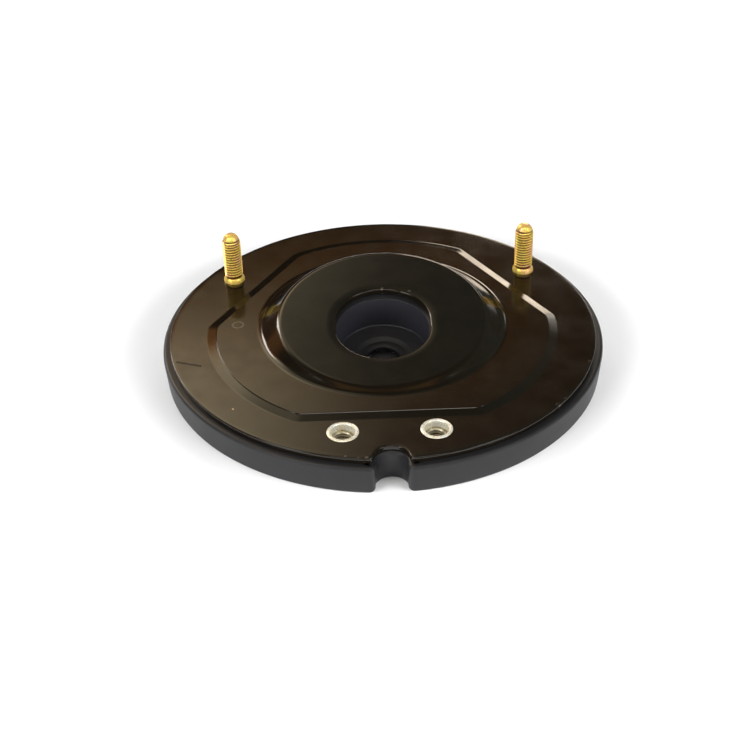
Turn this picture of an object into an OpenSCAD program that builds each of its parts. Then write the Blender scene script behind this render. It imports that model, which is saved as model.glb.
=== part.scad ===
// Strut mount: a pressed steel plate on a moulded rubber isolator, with a raked rod cup and a
// thrust ball bearing for the spring seat. Millimetres, +Z up. The origin is the centre of the
// isolator's lower face. The strut axis leans towards -Y, the side with the notch.

/* [Plate] */
// Radius of the plate's trimmed edge
plate_r = 89.4; // [86:0.1:96]
// Thickness of the plate's sheet
plate_t = 2.3; // [1.8:0.1:2.6]
// Height of the plateau above the flange
plateau_rise = 1.0; // [0.6:0.1:2]
// Width of the flange, from the plate's edge in to the plateau's upper edge
flange_w = 19.6; // [17:0.1:23]
// Width of the ramp round the plateau
plateau_ramp = 4.4; // [3:0.1:5]
// Distance from the plate's edge in to the plateau's front flat
front_land = 29; // [26:0.1:31]
// Distance from the plate's edge in to the plateau's two stud flats
stud_land = 28; // [26:0.1:31]
// Direction of the stud flats, in degrees behind the X axis
stud_flat_angle = 31; // [26:0.5:38]

/* [Boss and strut axis] */
// Lean of the strut axis from upright, in degrees
rake = 7.6; // [5:0.1:8.4]
// How far in front of the centre the strut axis meets the disc
axis_front = 8.7; // [4:0.1:12]
// Height of the disc above the flange, on the strut axis
disc_h = 7.8; // [7.7:0.1:10]
// Radius of the raked disc
disc_r = 43.4; // [42:0.1:46]
// How far the disc's centre lies behind the strut axis
disc_back = 3.85; // [2:0.05:5]
// Angle of the boss's wall from the disc, in degrees
boss_wall = 44; // [38:1:52]
// Radius of the bend at the disc's edge
disc_bend = 3; // [2.6:0.1:4]
// Half the width of the oval hole in the disc
hole_r = 19.6; // [18:0.1:21]
// How much longer than wide the oval hole is
hole_stretch = 4.2; // [0:0.1:6]

/* [Notch] */
// Radius of the notch in the plate
notch_r = 7; // [5:0.1:9]
// Distance from the plate's edge in to the notch's centre
notch_in = 1; // [0:0.1:3]
// Radius of the corners where the notch meets the edge
notch_corner = 2; // [1:0.1:3]
// How much narrower the notch is in the rubber, on each side
notch_step = 0.8; // [0.2:0.1:1.5]

/* [Rubber isolator] */
// Height of the rim under the plate
rim_h = 12.7; // [12.6:0.1:16]
// How far the rim stands out past the plate
rim_ledge = 3; // [2:0.1:4]
// How much the rim's wall draws in towards its lower face
rim_draft = 0.8; // [0:0.1:1.5]
// Radial width of the rim
rim_w = 14.4; // [10:0.1:18]
// Radius of the rim's upper and lower edges
rim_edge = 1.2; // [0.5:0.1:2]
// Thickness of the skin moulded on the plate's underside
skin_t = 1.6; // [1:0.1:2]
// Rubber between the disc and the rod cup's flange
rubber_over = 2.3; // [1.8:0.1:2.6]
// Rubber between the rod cup's flange and the bearing seat
rubber_under = 2.2; // [1.6:0.1:2.4]
// Thickness of the lining in the rod cup
lining_t = 2.2; // [2:0.1:2.6]
// How far the core reaches past the bearing seat
core_past_seat = 2; // [1:0.1:3]

/* [Rod cup] */
// Clear radius inside the lined cup
cup_r = 19.5; // [18:0.1:20]
// Depth of the cup's floor below the disc
cup_depth = 18; // [17:0.1:18.1]
// Thickness of the cup's sheet
cup_t = 2; // [1.8:0.1:2.1]
// Width of the cup's flange
cup_flange = 10.5; // [8:0.1:12]
// Inner radius of the bend at the foot of the cup
cup_bend = 2; // [1:0.1:2]
// Radius of the hole for the damper rod
rod_hole_r = 7; // [6:0.1:8]
// Radius of the dished middle of the floor
dish_r = 10.5; // [9:0.1:11]
// Depth of the dished middle
dish_depth = 1.4; // [0.8:0.1:1.5]

/* [Bearing] */
// Room for the inner seal, between the rod cup and the lower race
seal_room = 2.25; // [2:0.05:2.6]
// Radius of a ball
ball_r = 2; // [1.8:0.05:2.05]
// Number of balls
ball_count = 20; // [12:1:24]
// Half the radial width of the lower race
race_half_w = 5; // [4:0.1:5.1]
// Steel behind each groove
race_web = 0.95; // [0.8:0.05:1]
// Half the distance between the races' faces
race_face_gap = 1.2; // [1:0.05:1.3]
// Thickness of the cage
cage_t = 1.4; // [1:0.1:1.6]
// Half the radial width of the cage
cage_half_w = 3; // [2.6:0.1:3.4]
// Thickness of the bearing seat's sheet
seat_t = 2; // [1.6:0.1:2.1]
// How far the bearing seat's lip reaches down over the upper race
seat_lip = 2.5; // [1:0.1:3]
// Thickness of the seals' walls
seal_t = 1.1; // [0.8:0.05:1.3]

/* [Fasteners] */
// Distance from the plate's edge in to each stud
stud_in = 11.8; // [10.5:0.1:14]
// Direction of the studs, in degrees behind the X axis
stud_angle = 33.75; // [28:0.25:40]
// Radius of the stud's thread
stud_r = 4; // [3:0.5:5]
// Length of the stud above the flange
stud_l = 23; // [16:0.5:32]
// Radius of the stud's collar
collar_r = 4.6; // [4.4:0.05:5.4]
// Height of the collar above the flange
collar_h = 2; // [1:0.1:3]
// Length of the tapered tip of the stud
tip_l = 3.4; // [2:0.1:5]
// Radius of the flat end of the tip
tip_r = 1.8; // [1:0.1:2.5]
// Radius of the stud's head under the plate
stud_head_r = 6.5; // [6:0.1:7]
// Thickness of the stud's head
stud_head_t = 2.4; // [1.5:0.1:3]
// Distance of each clinch nut from the middle, along X
nut_x = 17.9; // [16:0.1:20]
// Distance from the plate's edge in to the clinch nuts, along Y
nut_in = 17.5; // [15:0.1:19]
// Radius of the clinch nut's flared ring
nut_ring_r = 6.2; // [5.6:0.1:7]
// How far the flared ring stands above the flange
nut_ring_h = 0.4; // [0.2:0.1:0.8]
// Radius of the plain mouth above the thread
nut_mouth_r = 4.7; // [4.4:0.1:5]
// Depth of the plain mouth
nut_mouth_depth = 2.2; // [1:0.1:3]
// Radius of the threaded hole at the crests
nut_hole_r = 3.4; // [2.5:0.1:4]
// How far the nut's barrel reaches past the flared ring, under the plate
nut_step = 0.6; // [0.3:0.1:1]
// Length of the nut's barrel under the plate
nut_barrel_l = 7; // [5:0.5:9]

/* [Clearances] */
// Bond line and seating gap between pieces that don't move
bond = 0.05; // [0.02:0.01:0.1]
// Gap between a ball and its groove or pocket
ball_gap = 0.15; // [0.1:0.01:0.2]
// Gap between pieces that turn past each other
turn_gap = 0.5; // [0.3:0.05:0.6]

/* [Hidden] */
$fn = 96;
over = 1;
notch_blend = 0.96;
plate_z = rim_h + plate_t;
rim_r = plate_r + rim_ledge;
plateau_r = plate_r - flange_w;
front_flat = plate_r - front_land;
stud_flat = plate_r - stud_land;
notch_y = plate_r - notch_in;
stud_x = (plate_r - stud_in) * cos(stud_angle);
stud_y = (plate_r - stud_in) * sin(stud_angle);
nut_y = plate_r - nut_in;
nut_barrel_r = nut_ring_r + nut_step;

// Heights along the strut axis, counted from the disc's upper face
flange_top = -plate_t - rubber_over;
flange_bottom = flange_top - cup_t;
core_bottom = flange_bottom - rubber_under;
seat_top = core_bottom - bond;
seat_bottom = seat_top - seat_t;
ball_z = seat_bottom - race_web - ball_gap - ball_r;
upper_face = ball_z + race_face_gap;
lower_face = ball_z - race_face_gap;
race_bottom = ball_z - ball_r - ball_gap - race_web;
floor_top = -cup_depth;
floor_bottom = floor_top - cup_t;

// Radii about the strut axis
cup_in = cup_r + lining_t + bond;
cup_out = cup_in + cup_t;
bend_out = cup_bend + cup_t;
cup_flange_r = cup_out + cup_flange;
lower_race_in = cup_out + seal_room;
pitch_r = lower_race_in + race_half_w;
lower_race_out = pitch_r + race_half_w;
inner_seal_r = lower_race_in - turn_gap;
outer_seal_r = lower_race_out + bond + seal_t;
lip_in = outer_seal_r + turn_gap;
lip_out = lip_in + seat_t;
upper_race_out = lip_in - bond;
seat_in = cup_out + bond + seal_t / 2;
core_r = lip_out + core_past_seat;

// The boss's cone starts low enough to meet the flange all round, behind the centre too
boss_depth = 2 * disc_h + 2 * disc_r * tan(rake);

BALLS = [for (i = [1:ball_count]) str("ball_", i)];

// Points of an arc from angle a to angle b
function arc(x, y, r, a, b, steps = 8) =
    [for (i = [0:steps]) [x + r * cos(a + (b - a) * i / steps), y + r * sin(a + (b - a) * i / steps)]];

// Children stand on the strut axis, with z = 0 on the disc's upper face
module strut_frame() {
    translate([0, -axis_front, plate_z + disc_h])
        rotate([rake, 0, 0])
            children();
}

// A ring about the strut axis, from its section
module strut_ring(points) {
    strut_frame()
        rotate_extrude()
            polygon(points);
}

// Everything on the inner side of one sloping flat of the plateau
module flat_side(distance, angle) {
    rotate([0, 0, angle])
        rotate([90, 0, 0])
            linear_extrude(4 * plate_r, center = true)
                polygon([[-2 * plate_r, -plateau_rise], [distance + 2 * plateau_ramp, -plateau_rise],
                         [distance, plateau_rise], [-2 * plate_r, plateau_rise]]);
}

// The plateau: a low cone with three flats that leave room for the fasteners
module plateau() {
    intersection() {
        translate([0, 0, -plateau_rise])
            cylinder(r1 = plateau_r + 2 * plateau_ramp, r2 = plateau_r, h = 2 * plateau_rise);
        flat_side(front_flat, -90);
        flat_side(stud_flat, stud_flat_angle);
        flat_side(stud_flat, 180 - stud_flat_angle);
    }
}

// The raked boss, with its surface set in by drop
module boss(drop) {
    bend = max(disc_bend - drop, 0.2);
    top_r = disc_r - drop * tan(boss_wall / 2);
    foot_r = disc_r + boss_depth / tan(boss_wall) - drop / sin(boss_wall);
    strut_frame()
        translate([0, disc_back, 0])
            rotate_extrude()
                polygon(concat(
                    [[0, -drop], [0, -boss_depth], [foot_r, -boss_depth]],
                    arc(top_r - bend * tan(boss_wall / 2), -drop - bend, bend, 90 - boss_wall, 90)));
}

// All that lies under the plate's upper face when that face is lowered by drop
module pressing(drop, edge_r, foot) {
    translate([0, 0, foot])
        cylinder(r = edge_r, h = plate_z - drop - foot);
    translate([0, 0, plate_z - drop])
        plateau();
    intersection() {
        boss(drop);
        translate([0, 0, foot])
            cylinder(r = edge_r, h = 4 * plate_z);
    }
}

// The plate's sheet or the skin below it, between two depths under the upper face
module pressed_sheet(top_drop, thickness, edge_r) {
    difference() {
        pressing(top_drop, edge_r, 0);
        pressing(top_drop + thickness, edge_r + over, -over);
    }
}

// The oval hole in the disc
module oval_hole() {
    strut_frame()
        for (side = [-1, 1])
            translate([0, side * hole_stretch / 2, -plate_z])
                cylinder(r = hole_r, h = 2 * plate_z);
    strut_frame()
        translate([-hole_r, -hole_stretch / 2, -plate_z])
            cube([2 * hole_r, hole_stretch, 2 * plate_z]);
}

// The notch at the front edge, with round corners where it meets an edge of radius edge_r
module notch(radius, edge_r) {
    reach = edge_r - notch_corner * notch_blend;
    spread = radius + notch_corner;
    corner_y = -(reach * reach + notch_y * notch_y - spread * spread) / (2 * notch_y);
    corner_x = sqrt(reach * reach - corner_y * corner_y);
    away = atan2(corner_y, corner_x);
    rise = atan2(notch_y + corner_y, corner_x);
    side = concat(
        [[corner_x + rim_r * cos(away), corner_y + rim_r * sin(away)]],
        arc(corner_x, corner_y, notch_corner, away, rise - 180),
        arc(0, -notch_y, radius, rise + (90 - rise) / 16, 90, 15));
    translate([0, 0, -over])
        linear_extrude(plate_z + 2 * over)
            polygon(concat(side, [for (i = [len(side) - 2:-1:0]) [-side[i][0], side[i][1]]]));
}

module at_studs() {
    for (side = [-1, 1])
        translate([side * stud_x, stud_y, plate_z])
            children();
}

module at_nuts() {
    for (side = [-1, 1])
        translate([side * nut_x, -nut_y, plate_z])
            children();
}

module upper_plate() {
    color("#1c1915")
        difference() {
            pressed_sheet(0, plate_t, plate_r);
            oval_hole();
            notch(notch_r, plate_r);
            at_studs()
                translate([0, 0, -plate_t - over])
                    cylinder(r = collar_r + bond, h = plate_t + 2 * over);
            at_nuts()
                translate([0, 0, -plate_t - over])
                    cylinder(r = nut_ring_r + bond, h = plate_t + 2 * over);
        }
}

// The rim's section, with its wall drawn in towards the lower face
module rim() {
    rotate_extrude()
        polygon(concat(
            [[rim_r - rim_w, 0]],
            arc(rim_r - rim_draft - rim_edge, rim_edge, rim_edge, -90, 0),
            arc(rim_r - rim_edge, rim_h - bond - rim_edge, rim_edge, 0, 90),
            [[rim_r - rim_w, rim_h - bond]]));
}

// The core between the disc, the rod cup and the bearing seat, with the cup's lining
module core() {
    lip_top = flange_top + rubber_over / 2;
    intersection() {
        pressing(plate_t + bond, plate_r, 0);
        strut_ring(concat(
            [[cup_r, floor_top + bond], [cup_r, lip_top], [cup_out + rubber_over, lip_top],
             [cup_out + rubber_over, 0], [core_r, 0], [core_r, core_bottom], [cup_out + bond, core_bottom],
             [cup_out + bond, flange_bottom - bond], [cup_flange_r + bond, flange_bottom - bond],
             [cup_flange_r + bond, flange_top + bond], [cup_in - bond, flange_top + bond]],
            arc(cup_in - cup_bend, floor_top + cup_bend, cup_bend - bond, 0, -90)));
    }
}

// Rubber that fills the boss round the core, down to the level of the skin
module boss_fill() {
    difference() {
        intersection() {
            boss(plate_t + bond);
            translate([0, 0, plate_z - plate_t - bond - skin_t])
                cylinder(r = plate_r, h = 4 * plate_z);
        }
        strut_frame()
            translate([0, 0, -2 * plate_z])
                cylinder(r = core_r - core_past_seat / 4, h = 4 * plate_z);
    }
}

module rubber_isolator() {
    color("#3a3938")
        difference() {
            union() {
                difference() {
                    pressed_sheet(plate_t + bond, skin_t, plate_r);
                    strut_frame()
                        translate([0, 0, -plate_z])
                            cylinder(r = cup_out + rubber_over + bond, h = 2 * plate_z);
                }
                boss_fill();
                rim();
                core();
            }
            notch(notch_r - notch_step, rim_r);
            at_studs()
                translate([0, 0, -plate_t - stud_head_t - bond])
                    cylinder(r = stud_head_r + bond, h = plate_z);
            at_nuts()
                translate([0, 0, -plate_z - over])
                    cylinder(r = nut_barrel_r + bond, h = 2 * plate_z);
        }
}

module rod_cup() {
    color("#26262a")
        strut_ring(concat(
            [[cup_flange_r, flange_top], [cup_in, flange_top]],
            arc(cup_in - cup_bend, floor_top + cup_bend, cup_bend, 0, -90),
            [[dish_r + dish_depth, floor_top], [dish_r, floor_top - dish_depth],
             [rod_hole_r, floor_top - dish_depth], [rod_hole_r, floor_bottom - dish_depth],
             [dish_r, floor_bottom - dish_depth], [dish_r + dish_depth, floor_bottom]],
            arc(cup_out - bend_out, floor_bottom + bend_out, bend_out, -90, 0),
            [[cup_out, flange_bottom], [cup_flange_r, flange_bottom]]));
}

module bearing_seat() {
    color("#2b2a29")
        strut_ring([[seat_in, seat_top], [lip_out, seat_top], [lip_out, seat_bottom - seat_lip],
                    [lip_in, seat_bottom - seat_lip], [lip_in, seat_bottom], [seat_in, seat_bottom]]);
}

// The groove that the balls run in
module ball_groove() {
    strut_frame()
        rotate_extrude()
            translate([pitch_r, ball_z])
                circle(r = ball_r + ball_gap);
}

module upper_race() {
    color("#9a9a98")
        difference() {
            strut_ring([[seat_in, seat_bottom], [upper_race_out, seat_bottom], [upper_race_out, upper_face],
                        [seat_in, upper_face]]);
            ball_groove();
        }
}

module lower_race() {
    color("#9a9a98")
        difference() {
            strut_ring([[lower_race_in, lower_face], [lower_race_out, lower_face],
                        [lower_race_out, race_bottom], [lower_race_in, race_bottom]]);
            ball_groove();
        }
}

module at_ball(index) {
    strut_frame()
        rotate([0, 0, 360 * index / ball_count])
            translate([pitch_r, 0, ball_z])
                children();
}

module ball_cage() {
    color("#d8d2c0")
        difference() {
            strut_ring([[pitch_r - cage_half_w, ball_z - cage_t / 2], [pitch_r + cage_half_w, ball_z - cage_t / 2],
                        [pitch_r + cage_half_w, ball_z + cage_t / 2],
                        [pitch_r - cage_half_w, ball_z + cage_t / 2]]);
            for (i = [1:ball_count])
                at_ball(i)
                    cylinder(r = ball_r + ball_gap, h = 2 * cage_t, center = true);
        }
}

module ball(index) {
    color("#d0d0d0")
        at_ball(index)
            sphere(r = ball_r);
}

// The outer seal sits on the lower race and its skirt runs under the seat's lip
module outer_seal() {
    wall_in = lower_race_out + bond;
    skirt_r = lip_out - bond;
    skirt_top = race_bottom + seal_t + bond;
    color("#202022")
        strut_ring([[wall_in, race_bottom + bond], [skirt_r, race_bottom + bond], [skirt_r, skirt_top],
                    [outer_seal_r, skirt_top], [outer_seal_r, upper_face - turn_gap],
                    [wall_in, upper_face - turn_gap]]);
}

// The inner seal sits on the rod cup and closes the bearing's bore
module inner_seal() {
    wall_in = cup_out + bond;
    color("#202022")
        strut_ring([[wall_in, race_bottom + turn_gap], [inner_seal_r, race_bottom + turn_gap],
                    [inner_seal_r, lower_face], [wall_in + seal_t, upper_face - bond],
                    [wall_in, upper_face - bond]]);
}

// A stud pressed in from below, with a round head, a collar and a tapered tip
module stud() {
    color("#c9a24a")
        rotate_extrude()
            polygon([[0, -plate_t - stud_head_t], [stud_head_r, -plate_t - stud_head_t],
                     [stud_head_r, -plate_t - bond], [collar_r, -plate_t - bond], [collar_r, collar_h],
                     [stud_r, collar_h], [stud_r, stud_l - tip_l], [tip_r, stud_l], [0, stud_l]]);
}

module left_stud() {
    translate([-stud_x, stud_y, plate_z])
        stud();
}

module right_stud() {
    translate([stud_x, stud_y, plate_z])
        stud();
}

// A nut clinched into the plate, with a flared ring on top and a barrel below
module clinch_nut() {
    color("#c8c6bd")
        rotate_extrude()
            polygon([[nut_mouth_r, nut_ring_h], [nut_ring_r - nut_ring_h / 2, nut_ring_h],
                     [nut_ring_r, nut_ring_h / 2], [nut_ring_r, -plate_t - bond],
                     [nut_barrel_r, -plate_t - bond], [nut_barrel_r, -plate_t - nut_barrel_l],
                     [nut_hole_r, -plate_t - nut_barrel_l], [nut_hole_r, -nut_mouth_depth - 1],
                     [nut_mouth_r, -nut_mouth_depth]]);
}

module left_clinch_nut() {
    translate([-nut_x, -nut_y, plate_z])
        clinch_nut();
}

module right_clinch_nut() {
    translate([nut_x, -nut_y, plate_z])
        clinch_nut();
}

upper_plate();
rubber_isolator();
rod_cup();
bearing_seat();
upper_race();
lower_race();
ball_cage();
outer_seal();
inner_seal();
left_stud();
right_stud();
left_clinch_nut();
right_clinch_nut();
for (i = [1:ball_count])
    ball(i);
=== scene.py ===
"""Looks of a strut mount: a pressed, e-coated plate bonded to a rubber isolator.

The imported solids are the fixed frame. The pieces in view are modelled again here with their bends,
rounded edges and threads, and every piece gets the finish that its real counterpart has.
Lengths are millimetres until a mesh is written, and the frame is the solids' own frame.
"""

import logging  # noqa: E402
import math  # noqa: E402
from dataclasses import dataclass, field  # noqa: E402
from enum import Enum  # noqa: E402

import bmesh  # noqa: E402
import bpy  # noqa: E402
import numpy as np  # noqa: E402
from bmesh.types import BMesh  # noqa: E402
from bpy.types import Material, Node, NodeSocket, NodeTree, Object  # noqa: E402
from mathutils import Matrix, Vector  # noqa: E402


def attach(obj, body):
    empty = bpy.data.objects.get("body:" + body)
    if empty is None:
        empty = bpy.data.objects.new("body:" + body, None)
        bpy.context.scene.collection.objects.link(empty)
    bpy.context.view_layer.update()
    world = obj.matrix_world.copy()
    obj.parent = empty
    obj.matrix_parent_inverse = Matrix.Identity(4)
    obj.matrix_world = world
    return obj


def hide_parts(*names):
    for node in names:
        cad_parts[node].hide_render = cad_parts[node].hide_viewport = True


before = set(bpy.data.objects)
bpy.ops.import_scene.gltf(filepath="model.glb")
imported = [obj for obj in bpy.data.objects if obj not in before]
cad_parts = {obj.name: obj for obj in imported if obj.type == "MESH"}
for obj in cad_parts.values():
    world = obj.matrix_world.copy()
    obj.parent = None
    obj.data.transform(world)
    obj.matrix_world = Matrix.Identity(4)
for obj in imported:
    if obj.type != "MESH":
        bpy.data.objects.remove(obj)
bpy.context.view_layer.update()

log = logging.getLogger("strut_mount")
Array = np.ndarray
Outline = list[tuple[float, float]]
MM = 0.001
TURN = 2 * math.pi
# Half the width of a thread's ridge at its foot and at its crest, as shares of the pitch
RIDGE_FOOT, RIDGE_CREST = 0.46, 0.09


class Body(Enum):
    """The bodies that the new pieces ride on."""

    MOUNT = "mount"
    LOWER_RING = "lower_ring"


class Light(Enum):
    """What a soft box does: it lights the surfaces, or it is mirrored in the gloss."""

    FILL = 0
    MIRRORED = 1


class Side(Enum):
    """Which side of the middle a fastener stands on, as the sign of its X."""

    LEFT = -1
    RIGHT = 1


# ---- Helpers for colours, nodes and meshes


def linear(code: str) -> tuple[float, float, float, float]:
    """Turns an sRGB hex colour to linear RGBA.

    Args:
        code: six hex digits after a hash sign.

    Returns:
        Red, green, blue and alpha as linear values.
    """
    parts = [int(code[i : i + 2], 16) / 255 for i in (1, 3, 5)]
    rgb = [c / 12.92 if c <= 0.04045 else ((c + 0.055) / 1.055) ** 2.4 for c in parts]
    return (*rgb, 1.0)


def per_metre(size: float) -> float:
    """Texture scale on Object coordinates for a pattern of that size in millimetres."""
    return 1 / (size * MM)


def add(tree: NodeTree, kind: str, sockets: dict | None = None, **settings) -> Node:
    """Adds a node with its settings, values and links.

    Args:
        tree: the node tree that gets the node.
        kind: Blender's name for the node, without ShaderNode.
        sockets: input name or number, to a value, or to the output or node that feeds it. A node feeds by its
            first output in use.
        settings: attributes of the node itself.

    Returns:
        The new node.
    """
    node = tree.nodes.new(f"ShaderNode{kind}")
    for key, value in settings.items():
        setattr(node, key, value)
    for key, value in (sockets or {}).items():
        if isinstance(value, Node):
            value = next(out for out in value.outputs if out.enabled)
        if isinstance(value, NodeSocket):
            tree.links.new(value, node.inputs[key])
        else:
            node.inputs[key].default_value = value
    return node


def start_material(name: str) -> tuple[Material, NodeTree, NodeSocket]:
    """Makes an empty material.

    Args:
        name: the material's name.

    Returns:
        The material, its emptied node tree and the Object coordinates in that tree.
    """
    material = bpy.data.materials.new(name)
    material.use_nodes = True
    tree = material.node_tree
    tree.nodes.clear()
    return material, tree, add(tree, "TexCoord").outputs["Object"]


def end_material(tree: NodeTree, sockets: dict) -> None:
    """Adds the shader with the given inputs and links it to the output."""
    shader = add(tree, "BsdfPrincipled", sockets)
    add(tree, "OutputMaterial", {"Surface": shader})


def mottled(
    tree: NodeTree, place: NodeSocket, size: float, detail: float, tones: tuple[str, str]
) -> Node:
    """Lets a colour drift between two tones in soft patches.

    Args:
        tree: the material's nodes.
        place: its Object coordinates.
        size: size of the patches in millimetres.
        detail: how many finer layers they have.
        tones: the two colours.

    Returns:
        The node that gives the colour.
    """
    patch = add(tree, "TexNoise", {"Vector": place, "Scale": per_metre(size), "Detail": detail})
    first, second = (linear(tone) for tone in tones)
    return add(tree, "Mix", {0: patch, 6: first, 7: second}, data_type="RGBA")


def level(plan: Array, z: float) -> Array:
    """Lifts a plan to one height."""
    return np.column_stack([plan, np.full(len(plan), z)])


def quarter(radius: float, turns: Array) -> Outline:
    """Gives a rounded edge's points, as distance inside the wall and below the face."""
    return [(radius * (1 - math.sin(t)), radius * (1 - math.cos(t))) for t in turns * math.pi / 2]


def finished(bm: BMesh, name: str, sharp: float = 40.0) -> Object:
    """Writes a bmesh in millimetres to a smooth-shaded object in metres.

    Args:
        bm: the mesh, which is freed.
        name: the piece's name.
        sharp: edges that turn by more degrees than this stay sharp.

    Returns:
        The object, at the origin.
    """
    bmesh.ops.recalc_face_normals(bm, faces=bm.faces)
    bmesh.ops.scale(bm, vec=(MM, MM, MM), verts=bm.verts)
    mesh = bpy.data.meshes.new(name)
    bm.to_mesh(mesh)
    bm.free()
    mesh.shade_smooth()
    mesh.set_sharp_from_angle(angle=math.radians(sharp))
    made = bpy.data.objects.new(name, mesh)
    bpy.context.scene.collection.objects.link(made)
    return made


def lofted(rings: list[Array], name: str, sharp: float = 40.0) -> Object:
    """Spins a flat blank of rings and carries each vertex to its place on the pressed form.

    Args:
        rings: the closed section's rings in order, each with one row of x, y, z for each step.
        name: the piece's name.
        sharp: edges that turn by more degrees than this stay sharp.

    Returns:
        The closed piece.
    """
    steps = len(rings[0])
    bm = bmesh.new()
    chain = [bm.verts.new((1.0 + i, 0, 0)) for i in range(len(rings))]
    edges = [bm.edges.new(pair) for pair in zip(chain, chain[1:] + chain[:1])]
    bmesh.ops.spin(
        bm, geom=chain + edges, cent=(0, 0, 0), axis=(0, 0, 1), angle=TURN, steps=steps, use_merge=True
    )
    for vert in bm.verts:
        ring = round(vert.co.xy.length) - 1
        step = round(math.atan2(vert.co.y, vert.co.x) / TURN * steps) % steps
        vert.co = rings[ring][step]
    return finished(bm, name, sharp)


def spun(bm: BMesh, section: Outline, place: Matrix, steps: int = 192) -> None:
    """Spins a section round an axis.

    Args:
        bm: the mesh that gets the shape.
        section: closed outline as radius and height pairs; a radius of 0 lies on the axis.
        place: carries the Z axis and the origin to the real ones.
        steps: steps in the full turn.
    """
    known = set(bm.verts)
    chain = [bm.verts.new(place @ Vector((r, 0, z))) for r, z in section]
    pairs = zip(chain, chain[1:] + chain[:1])
    on_axis = [r < 1e-6 for r, _ in section]
    edges = [bm.edges.new(p) for i, p in enumerate(pairs) if not (on_axis[i] and on_axis[(i + 1) % len(section)])]
    bmesh.ops.spin(
        bm, geom=chain + edges, cent=place.translation, axis=place.to_3x3() @ Vector((0, 0, 1)),
        angle=TURN, steps=steps, use_merge=True,
    )
    bmesh.ops.remove_doubles(bm, verts=[v for v in bm.verts if v not in known], dist=1e-4)


def eased(bm: BMesh, width: float, turn: float = 30.0, segments: int = 2) -> None:
    """Rounds every edge that turns by more than the given degrees.

    Args:
        bm: the mesh.
        width: width of the rounding in millimetres.
        turn: edges that turn by less stay as they are.
        segments: steps across the rounding.
    """
    bmesh.ops.recalc_face_normals(bm, faces=bm.faces)
    limit = math.radians(turn)
    edges = [e for e in bm.edges if len(e.link_faces) == 2 and e.calc_face_angle() > limit]
    bmesh.ops.bevel(
        bm, geom=edges, offset=width, offset_type="OFFSET", segments=segments, profile=0.5,
        affect="EDGES", clamp_overlap=True, material=-1,
    )


def thread(
    bm: BMesh, place: Matrix, root: float, crest: float, low: float, high: float,
    pitch: float, steps: int = 48,
) -> None:
    """Winds a thread's ridge round an axis, with a run-out at both ends.

    Args:
        bm: the mesh that gets the ridge.
        place: carries the Z axis and the origin to the real ones.
        root: radius that the ridge stands on.
        crest: radius of its crest.
        low: height of the first turn.
        high: height of the last turn.
        pitch: rise in one turn.
        steps: steps in one turn.
    """
    known = set(bm.verts)
    foot, top = RIDGE_FOOT * pitch, RIDGE_CREST * pitch
    outline = [(root, -foot), (crest, -top), (crest, top), (root, foot)]
    chain = [bm.verts.new((r, 0, low + z)) for r, z in outline]
    edges = [bm.edges.new(pair) for pair in zip(chain, chain[1:] + chain[:1])]
    turns = (high - low) / pitch
    count = int(turns * steps)
    bmesh.ops.spin(
        bm, geom=chain + edges, cent=(0, 0, 0), axis=(0, 0, 1), dvec=(0, 0, (high - low) / count),
        angle=TURN * turns, steps=count,
    )
    new = [v for v in bm.verts if v not in known]
    ends = [e for v in new for e in v.link_edges if len(e.link_faces) == 1]
    bmesh.ops.holes_fill(bm, edges=list(set(ends)), sides=4)
    for vert in new:
        reach = vert.co.xy.length
        rise = min(1.0, max(0.0, (vert.co.z - low + foot) / pitch), max(0.0, (high + foot - vert.co.z) / pitch))
        wanted = root + (reach - root) * rise
        vert.co.xy *= wanted / reach
    bmesh.ops.transform(bm, matrix=place, verts=new)


def pierced(piece: Object, holes: list[tuple[float, float, float, float, float]], sharp: float) -> None:
    """Punches upright round holes through a piece.

    Args:
        piece: the piece, whose mesh is replaced.
        holes: x, y, radius, lower end and upper end of each punch.
        sharp: edges that turn by more degrees than this stay sharp.
    """
    bm = bmesh.new()
    for x, y, radius, low, high in holes:
        place = Matrix.Translation((x, y, (low + high) / 2))
        bmesh.ops.create_cone(
            bm, cap_ends=True, segments=96, radius1=radius, radius2=radius, depth=high - low, matrix=place
        )
    punch = finished(bm, "punch")
    cut = piece.modifiers.new("punched", "BOOLEAN")
    cut.operation, cut.solver, cut.object = "DIFFERENCE", "EXACT", punch
    blank = piece.data
    piece.data = bpy.data.meshes.new_from_object(piece.evaluated_get(bpy.context.evaluated_depsgraph_get()))
    piece.modifiers.clear()
    for spent in (blank, punch.data):
        bpy.data.meshes.remove(spent)
    piece.data.name = piece.name
    piece.data.shade_smooth()
    piece.data.set_sharp_from_angle(angle=math.radians(sharp))


def dressed(piece: Object, material: Material, body: Body, node: str) -> None:
    """Gives a piece its finish and its body, and hides the solid that it stands for.

    Args:
        piece: the new piece.
        material: its finish.
        body: the body that it rides on.
        node: the solid that it stands for.
    """
    piece.data.materials.clear()
    piece.data.materials.append(material)
    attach(piece, body.value)
    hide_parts(node)
    log.info("%s: %d faces, %s", piece.name, len(piece.data.polygons), material.name)


# ---- Finishes


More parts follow.
